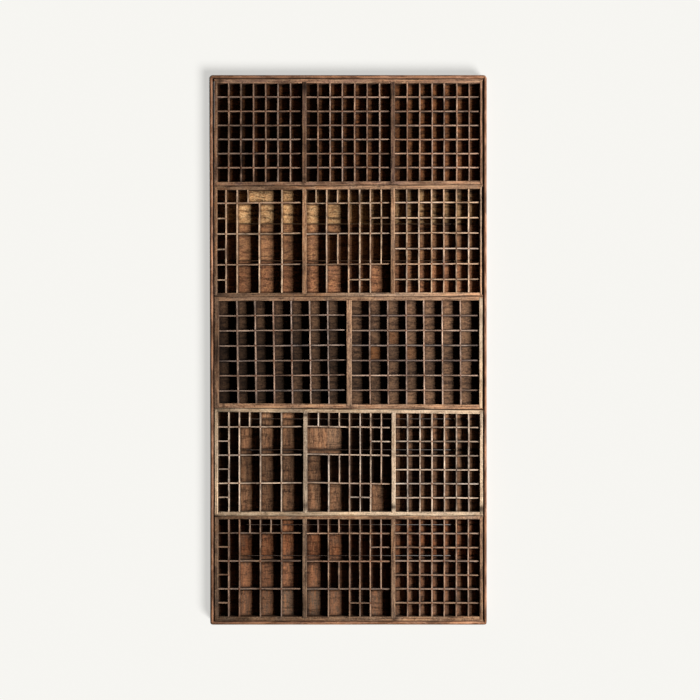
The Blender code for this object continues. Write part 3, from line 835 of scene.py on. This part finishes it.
# A slat: the section carried between two ends, bowed, leaning, and hollowed between its crossings
def slatMember(axis, line, start, stop, crossings, back, front, seed, wear, sunk, tone):
    draw = np.random.default_rng(seed)
    crossings = np.sort(crossings)
    ease = wear["endRound"]
    along = stationsOf(start, stop, wear["step"], ease, crossings[:, None] + wear["near"])
    marks = np.r_[start, crossings, stop]
    cell = np.clip(np.searchsorted(marks, along, side="right") - 1, 0, len(marks) - 2)
    share = (along - marks[cell]) / (marks[cell + 1] - marks[cell])
    hollow = draw.uniform(*wear["hollowRange"], len(marks))[cell] * np.sin(np.pi * share) ** 2
    length = (along - start) / (stop - start)
    bow = draw.uniform(-1, 1) * wear["bow"] * np.sin(np.pi * length)
    origin, place, slope = line
    centre = place + slope * (along - origin) + bow + wander(along, *wear["placeDrift"], seed + 1)
    thick = wear["thickness"] + wander(along, *wear["thicknessDrift"], seed + 2)
    tall = back - front - sunk - wear["dip"] * hollow
    radius = wear["radius"] * (1 + wander(along, *wear["radiusDrift"], seed + 3))
    lean = draw.uniform(-1, 1) * wear["lean"]
    grid = carry(along, centre - thick / 2, centre + thick / 2, back, tall, radius, slatSection, ease, lean)
    gaps = np.abs(along[:, None] - crossings[None]).min(1) if len(crossings) else np.full(along.shape, 1.0)
    joint = np.clip((wear["glue"] - gaps) / wear["glueFade"], 0, 1)
    tone = tone + draw.uniform(*wear["toneRange"]) + wander(along, *wear["toneDrift"], seed + 4)
    if axis == "z":
        tone = tone + wander(along, *wear["blotches"], seed + 6)
    grey = np.clip(draw.uniform(*wear["greyRange"]) + wander(along, *wear["greyDrift"], seed + 5), 0, 1)
    orange = max(draw.uniform(*wear["orangeRange"]), 0)
    return member(axis, *grid, slatSection, seed, tone, grey, np.maximum(joint, orange))


# Where the slats of a section lie: axis, place at the section's middle, slope, start, stop, and the places
# where others cross it
def slatLines(case, side, wear):
    lay, rowTrim = dividerLays[case][side], dividerLays[case]["rowTrim"]
    low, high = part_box(f"{case}_{side}_dividers")
    gap = wear["gap"]
    columns = placesOf(low.x - gap, high.x + gap, lay["columns"], lay["trim"], lay["move"][0])
    rows = placesOf(low.z - gap, high.z + gap, wear["rows"], rowTrim, lay["move"][1])[::-1]
    middle = ((low.x + high.x) / 2, (low.z + high.z) / 2)
    slope = {"x": lay["tilt"] / (high.x - low.x), "z": lay["slant"] / (high.z - low.z)}

    def at(places, number):
        return float(np.interp(number, np.arange(len(places)), places))

    def rowAt(row, column):
        return at(rows, row) + slope["x"] * (at(columns, column) - middle[0]) * (0 < row < wear["rows"])

    def columnAt(column, row):
        return at(columns, column) + slope["z"] * (at(rows, row) - middle[1]) * (0 < column < lay["columns"])

    lines = []
    for column, top, bottom in lay["uprights"]:
        meets = [rowAt(row, column) for row, left, right in lay["crosses"]
                 if left <= column <= right and top < row < bottom]
        lines.append(("z", at(columns, column), slope["z"], rowAt(bottom, column), rowAt(top, column), meets))
    for row, left, right in lay["crosses"]:
        meets = [columnAt(column, row) for column, top, bottom in lay["uprights"]
                 if left < column < right and top <= row <= bottom]
        lines.append(("x", at(rows, row), slope["x"], columnAt(left, row), columnAt(right, row), meets))
    return lines, (columns[0], columns[-1], rows[-1], rows[0]), middle


def addDividers(case, side, wear):
    name = f"{case}_{side}_dividers"
    low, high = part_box(name)
    lines, (left, right, bottom, top), (middleX, middleZ) = slatLines(case, side, wear)
    members = []
    for i, (axis, place, slope, start, stop, meets) in enumerate(lines):
        # ends on a rail are let in, ends on another slat stop at its middle
        first, last = (bottom, top) if axis == "z" else (left, right)
        start -= wear["letIn"] * (start == first)
        stop += wear["letIn"] * (stop == last)
        sunk = wear["under"] if axis == "x" else 0.0
        centre = (middleZ if axis == "z" else middleX, place, slope)
        tone = wear["tones"][case][sectionsOf[case].index(side)][axis == "x"]
        members.append(slatMember(axis, centre, start, stop, np.array(meets), high.y, low.y,
                                  seedOf(f"{name} {i}"), wear, sunk, tone))
    return addPiece(name + "_timber", members, timbers["slat" + case[-1]], case, [name])


for case in caseNames:
    for side in sectionsOf[case]:
        addDividers(case, side, slatWear)
print("dividers set")

floorWear = {
    "radius": 0.9 * mm,
    "radiusDrift": (60 * mm, 0.4),  # waves along a board: their length and height
    "edgeDrift": (120 * mm, 0.25 * mm),
    "cupping": (150 * mm, 0.15 * mm),
    "backDrift": (90 * mm, 0.4),
    "endRound": 0.6 * mm,
    "step": 16 * mm,
    # points across a face: beside a divider, near the long edges, and in rows that start and stop off them
    "beside": np.array([-9, -3, -0.6, 0.6, 3, 9]) * mm,
    "nearEdge": np.array([5, 9]) * mm,
    "pointRows": (14 * mm, 13 * mm, 11 * mm),  # start, stop and step
    "edgeRoom": 3 * mm,
    "slack": 1 * mm,  # a divider still walls off a box this far past its ends
    "mix": (9137.1, 7919.7, 43758.5),
    "evenBowl": 0.33,  # what a bowl takes off all over, so that its board is as bright as planned
    "boxTone": 0.65,  # boxes differ in brightness by this much
    "darkest": -2.25,
    "fringe": 7 * mm,  # dirt and painted shade along the walls of a box
    "dirtAndShade": 0.8,
    "narrow": 40 * mm,  # painted shade all over narrow boxes, where a section has this many columns
    "fineColumns": 8,
    "narrowShade": 0.85,
    "joint": (5, 0.95),  # dirt along the joint between two boards: reach in millimetres, and amount
    "backTone": 0.1,  # the backs never met ink: brighter and greyed by dust
    "backGrey": 0.75,
}
floorsOf = {case: [f"{case}_{place}_floor_board" for place in ("top", "middle", "bottom")]
            for case in caseNames}
floorsOf.update({case: [case + "_floor"] for case in ("case_1", "case_3")})
# for each of these boards: brightness at its middle, its change towards the right end and towards the top,
# and its greying
floorTones = {
    "case_1": [(-0.6, 0.95, 0.35, 0)],
    "case_2": [(0.2, -1.3, 0, 0), (-0.45, -0.3, 0, 0), (0.25, 0.5, 0, 0)],
    "case_3": [(-1.0, 1.12, 0.46, 0)],
    "case_4": [(0.6, -0.6, 0, 0), (-0.7, -0.1, 0, 0), (-0.95, 0, -0.25, 0.1)],
    "case_5": [(-1.1, 0.6, 0, 0), (-0.5, 0.3, 0, 0), (-0.15, -0.15, -0.12, 0.32)],
}
# boards that are brighter towards both long edges
floorBowls = {"case_1_floor": 0.2, "case_3_floor": 1.1}
# boards darker along the joint below them; an amount over 1 stays full for part of the way
jointDarkening = {"case_4_middle_floor_board": (8, 1.5)}
# cases with less painted shade in their narrow boxes
narrowShades = {"case_2": 0.25, "case_5": 0.7}
# floor faded where it lay open for years: from x to x and below z in millimetres, and how grey it went
floorFades = {"case_4_middle_floor_board": [(-76, -15, 0, 0.7)],
              "case_5_bottom_floor_board": [(-470, 470, -827, 0.2), (-245, -90, -827, 0.4)]}
# boxes with a stained floor: a point in the box in millimetres, how rusty it is and how inky
floorStains = {
    "case_2": [(341, 443, 0, 0.75), (-50, 467, 0, 0.3)],
    "case_3": [(95, -11, 0.7, 0), (157, 41, 0.35, 0), (213, -11, 0.25, 0)],
    "case_4": [(220, -432, 0, 0.6), (251, -432, 0, 0.5)],
}


# For floor points: a random number that is the same all over one box, the distance to the box's walls, and
# whether the box is a narrow one; the number is the fraction of
# sin(left wall * first mix + upper wall * second mix + seed) * third mix
def boxFacts(case, x, z, seed, wear):
    share, reach, narrow = np.full(x.shape, 0.5), np.zeros(x.shape), np.zeros(x.shape, bool)
    for side in sectionsOf[case]:
        lines, (low, high, bottom, top), middle = slatLines(case, side, slatWear)
        walls = [np.full(x.shape, edge) for edge in (low, high, bottom, top)]
        for axis, place, slope, start, stop, _ in lines:
            across, along = (x, z) if axis == "z" else (z, x)
            across = across - slope * (along - middle[1 if axis == "z" else 0])
            spans = (along > start - wear["slack"]) & (along < stop + wear["slack"])
            under, over = (0, 1) if axis == "z" else (2, 3)
            walls[under] = np.where(spans & (place < across), np.maximum(walls[under], place), walls[under])
            walls[over] = np.where(spans & (place >= across), np.minimum(walls[over], place), walls[over])
        inside = (x > low) & (x < high) & (z > bottom) & (z < top)
        mix = np.sin(walls[0] * wear["mix"][0] + walls[3] * wear["mix"][1] + seed) * wear["mix"][2]
        near = np.minimum(np.minimum(x - walls[0], walls[1] - x), np.minimum(z - walls[2], walls[3] - z))
        share = np.where(inside, mix - np.floor(mix), share)
        reach = np.where(inside, near - slatWear["thickness"] / 2, reach)
        fine = dividerLays[case][side]["columns"] == wear["fineColumns"]
        narrow = narrow | (inside & fine & (walls[1] - walls[0] < wear["narrow"]))
    return share, reach, narrow


# Floor board: rounded edges, and a face with points either side of every divider, so that each box
# can have its own stains
def addFloorBoard(case, name, tones, wear):
    low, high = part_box(name)
    seed = seedOf(name)
    lines = [line for side in sectionsOf[case] for line in slatLines(case, side, slatWear)[0]]
    columns = [line[1] + wear["beside"] for line in lines if line[0] == "z"]
    rows = np.unique(np.round([line[1] for line in lines if line[0] == "x"], 3))
    start, stop, step = wear["pointRows"]
    faces = np.r_[(rows[:, None] + wear["beside"]).ravel(), low.z + wear["nearEdge"],
                  high.z - wear["nearEdge"], np.arange(low.z + start, high.z - stop, step)]
    faces = np.unique(np.round(faces, 4))
    middle, half = (low.z + high.z) / 2, (high.z - low.z) / 2
    room = wear["edgeRoom"]
    faces = (faces[(faces > low.z + room) & (faces < high.z - room)] - middle) / half
    section = sheetSection(faces[:len(faces) // 2 * 2])
    along = stationsOf(low.x, high.x, wear["step"], wear["endRound"], np.concatenate(columns))
    lower, upper = (np.abs(wander(along, *wear["edgeDrift"], seed + i)) for i in (0, 1))
    radius = wear["radius"] * (1 + wander(along, *wear["radiusDrift"], seed + 2))
    tall = high.y - low.y - np.abs(wander(along, *wear["cupping"], seed + 3))
    x, z, y = carry(along, low.z + lower, high.z - upper, high.y, tall, radius, section)
    share, reach, narrow = boxFacts(case, x, z, seedOf(case), wear)
    base, toRight, toTop, grey = tones
    face = y < (low.y + high.y) / 2
    up = (z - middle) / half
    bowl = floorBowls.get(name, 0) * (up ** 2 - wear["evenBowl"])
    tone = base + toRight * x / high.x + toTop * up + bowl
    tone = np.maximum(tone + wear["boxTone"] * (2 * share - 1), wear["darkest"])
    tone = np.where(face, tone, wear["backTone"] + wander(along, *wear["backDrift"], seed + 6)[:, None])
    # painted shade with dirt: floors darker along the walls of each box, and painted shade over the whole
    # floor of narrow boxes, where the key lamp leaves them in shade
    dirtAndShade = wear["dirtAndShade"] * np.clip(1 - reach / wear["fringe"], 0, 1)
    dirtAndShade = np.maximum(dirtAndShade, narrowShades.get(case, wear["narrowShade"]) * narrow) * face
    above = name.replace("middle", "top").replace("bottom", "middle")
    for joint, edge in ((name, z - low.z), (above, high.z - z)):
        fringe, amount = jointDarkening.get(joint, wear["joint"])
        dirtAndShade = np.maximum(dirtAndShade, np.clip(amount * (1 - edge / (fringe * mm)), 0, 1) * face)
    rust = np.zeros(x.shape)
    for stainX, stainZ, rusty, inky in floorStains.get(case, []):
        box = boxFacts(case, np.array([stainX * mm]), np.array([stainZ * mm]), seedOf(case), wear)[0]
        here = (share == box) & face
        rust, dirtAndShade = np.where(here, rusty, rust), np.maximum(dirtAndShade, inky * here)
    for first, last, under, faded in floorFades.get(name, []):
        grey = grey + faded * (x > first * mm) * (x < last * mm) * (z < under * mm)
    grey = np.where(face, grey, wear["backGrey"])
    part = member("x", x, z, y, section, seed, tone, grey, rust, dirtAndShade)
    look = "floor" + case[-1] + (name.split("_")[2] if case == "case_2" else "")
    return addPiece(name + "_timber", [part], timbers[look], case, [name])


for case in caseNames:
    for name, tones in zip(floorsOf[case], floorTones[case]):
        addFloorBoard(case, name, tones, floorWear)
print("floors laid")

frameWear = {
    "board": 12 * mm,
    "nose": 5.0 * mm,  # half-round front
    "turn": 12.4 * mm,  # outer corner radius
    "step": 8 * mm,
    "turnSteps": 7,
    "mitreGap": 0.15 * mm,
    "drift": (160 * mm, 0.3 * mm),  # waves along a board: their length and height
    "uprightDrift": (150 * mm, 0.3 * mm),  # the back uprights
    "uprightRadius": 0.9 * mm,
    "endRound": 0.6 * mm,
    "leanMiddle": -1.0 * mm,  # the left board leans out: its shift at the middle, and for each metre upwards
    "leanUp": -2.8 * mm,
    "squareness": {"top": 2.0, "bottom": 3.4},  # 2 is a round corner, more is squarer
    # dirt and painted shade along the inner and the outer edge, and how far round the nose each goes: the
    # nose's side away from the key lamp and the gap beside the cases are painted darker
    "dirtAndShade": {"left": ((0.9, 0.6), (1, 1.9)), "right": ((1, 1.8), (0, 1)), "top": ((1, 1.0), (0.7, 0.8)),
             "bottom": ((1, 0.7), (0, 1))},
    "outerGrimeAndShade": 0.25,  # the outer sides keep only this share of the side grime and painted shade
    "fade": {"top": 0.85, "bottom": 0.4},  # share of the dirt and painted shade lost at the right end
}


# The left side leans out: x + min(middle + up * z, 0) * share of the way to the left edge
def leaning(x, z, wear):
    return x + np.minimum(wear["leanMiddle"] + wear["leanUp"] * z, 0) * np.clip(-x / cadBounds[1][0], 0, 1)


# A mitred board: the section runs straight, then turns an eighth of a circle of radius turn - q about the
# corner's centre, where q is a point's distance from the outer edge; a superellipse makes a squarer corner
def addFrameBoard(side, wear):
    name = f"frame_{side}_board"
    low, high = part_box(name)
    seed = seedOf(name)
    upright = side in ("left", "right")
    half = cadBounds[1][2 if upright else 0] - wear["mitreGap"]
    turn = wear["turn"]
    straight = np.linspace(-(half - turn), half - turn, int(2 * half / wear["step"]))
    drift = np.abs(wander(straight, *wear["drift"], seed))
    q = wear["board"] / 2 * (1 + frameSection["side"]) + wear["nose"] * frameSection["cut"]
    depth = (high.y - low.y) * frameSection["depth"] + wear["nose"] * frameSection["drop"]
    u = straight[:, None] + 0 * q
    v = q + drift[:, None] * (q < wear["board"] / 2) * np.sin(np.linspace(0, np.pi, len(straight)))[:, None]
    angle = np.linspace(0, np.pi / 4, wear["turnSteps"] + 1)[1:, None]

    def corner(power):
        stretch = (np.sin(angle) ** power + np.cos(angle) ** power) ** (-1 / power)
        stretch = 1 + (stretch - 1) * np.sin(2 * angle)
        radius = (turn - q) * stretch
        return half - turn + radius * np.sin(angle), turn - radius * np.cos(angle)

    powers = wear["squareness"]
    first, last = (powers["bottom"], powers["top"]) if upright else (powers[side], powers[side])
    (startU, startV), (endU, endV) = corner(first), corner(last)
    u = np.concatenate([-startU[::-1], u, endU])
    v = np.concatenate([startV[::-1], v, endV])
    edge = {"top": high.z - v, "bottom": low.z + v, "left": low.x + v, "right": high.x - v}[side]
    y = high.y - depth + 0 * u
    along = u[:, 0]
    # painted shade with dirt on the frame's edges
    inside, outside = wear["dirtAndShade"][side]
    dirtAndShade = edgeDirtAndShade(frameSection, True, *inside) + edgeDirtAndShade(frameSection, False, *outside)
    dirtAndShade = dirtAndShade * (1 - wear["fade"].get(side, 0) * np.linspace(0, 1, len(along))[:, None] ** 2)
    outer = np.arange(len(q)) < len(q) // 2
    section = {**frameSection, "grime": np.where(outer, wear["outerGrimeAndShade"], 1) * frameSection["grime"]}
    u, edge = (u, leaning(edge, u, wear)) if upright else (leaning(u, edge, wear), edge)
    part = member("z" if upright else "x", u, edge, y, section, seed, toneAlong(name, along),
                  greyAlong(name, along), grime=dirtAndShade)
    return addPiece(name + "_timber", [part], timbers["frame"], "frame", [name])


def addBackUpright(side, wear):
    name = f"back_upright_{side}"
    low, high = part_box(name)
    seed = seedOf(name)
    along = stationsOf(low.z, high.z, wear["step"], wear["endRound"])
    left, right = (np.abs(wander(along, *wear["uprightDrift"], seed + i)) for i in (0, 1))
    grid = carry(along, low.x + left, high.x - right, high.y, high.y - low.y, wear["uprightRadius"],
                 boardSection)
    part = member("z", *grid, boardSection, seed, toneAlong(name, along))
    return addPiece(name + "_timber", [part], timbers["upright"], "frame", [name])


for side in sides:
    addFrameBoard(side, frameWear)
for side in sides[2:]:
    addBackUpright(side, frameWear)
print("wall frame joined")

nailLook = {
    "head": 1.7 * mm,
    "rise": 0.45 * mm,
    "sides": 8,
    "rings": (0.55, 0.55, 1.0, 0.92, 0.5),  # radius of each ring from the shank up, in heads
    "lifts": (-6.0, -0.15, 0.0, 0.55, 0.95),  # and its height over the timber, in rises
    "sizeRange": (0.85, 1.15),
    "pin": 1.0 * mm,  # small pins at the partition ends
    "pinRise": 0.25 * mm,
    "pinBeyond": 4.5 * mm,  # they lie this far past the ends
    "fromEdge": 6.5 * mm,  # rows along the long rails
    "rowCount": 9,
    "rowReach": 330 * mm,
    "rowStray": (9 * mm, 1.5 * mm),  # how far a nail may be off, sideways and upwards
    "fromEnd": 55 * mm,  # rows along the partitions
    "partitionCount": 4,
    "partitionStray": (2 * mm, 6 * mm),
}


# Domed heads on short shanks: rings of points, each with a radius and a rise from the timber, copied to every
# place; facing is -1 for heads on the front and 1 for heads on the back
def nailMember(centres, head, rise, facing, seed, look):
    draw = np.random.default_rng(seed)
    sides = look["sides"]
    turn = np.linspace(0, 2 * np.pi, sides, endpoint=False)
    radius, lift = np.array(look["rings"])[:, None], np.array(look["lifts"])[:, None]
    one = np.stack(np.broadcast_arrays(radius * np.cos(turn), lift, radius * np.sin(turn)), -1).reshape(-1, 3)
    count = len(centres)
    width, height = (head * draw.uniform(*look["sizeRange"], count) for _ in range(2))
    size = np.stack([width, np.full(count, rise * facing), height], -1)
    points = (np.asarray(centres)[:, None] + one * size[:, None]).reshape(-1, 3)
    quads = (quadsOf(len(lift), sides) + len(one) * np.arange(count)[:, None, None]).reshape(-1, 4)
    return {"points": points, "quads": outward(points, quads)}


def strayed(draw, x, y, z, stray):
    right, up = stray
    return x + draw.uniform(-right, right), y, z + draw.uniform(-up, up)


def addNails(case, look):
    draw = np.random.default_rng(seedOf(case + " nails"))
    topLow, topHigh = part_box(f"{case}_top_rail")
    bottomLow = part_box(f"{case}_bottom_rail")[0]
    back = max(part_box(node)[1].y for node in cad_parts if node.startswith(case) and "floor" in node)
    across = (topLow.x + topHigh.x) / 2 + np.linspace(-look["rowReach"], look["rowReach"], look["rowCount"])
    heights = [topHigh.z - look["fromEdge"], bottomLow.z + look["fromEdge"]]
    rows = [strayed(draw, x, back, z, look["rowStray"]) for z in heights for x in across]
    pins = []
    for place in partitionsOf[case]:
        low, high = nudgedBox(f"{case}_{place}_partition")
        x = (low.x + high.x) / 2
        heights = np.linspace(low.z + look["fromEnd"], high.z - look["fromEnd"], look["partitionCount"])
        rows += [strayed(draw, x, back, z, look["partitionStray"]) for z in heights]
        right = look["partitionStray"][0]
        pins += [(x + draw.uniform(-right, right), low.y, z)
                 for z in (high.z + look["pinBeyond"], low.z - look["pinBeyond"])]
    backs = nailMember(rows, look["head"], look["rise"], 1, seedOf(case), look)
    fronts = nailMember(pins, look["pin"], look["pinRise"], -1, seedOf(case) + 1, look)
    addPiece(f"{case}_floor_nails", [backs], ironNail, case)
    addPiece(f"{case}_rail_pins", [fronts], ironNail, case)


for case in caseNames:
    addNails(case, nailLook)
print("nails driven")
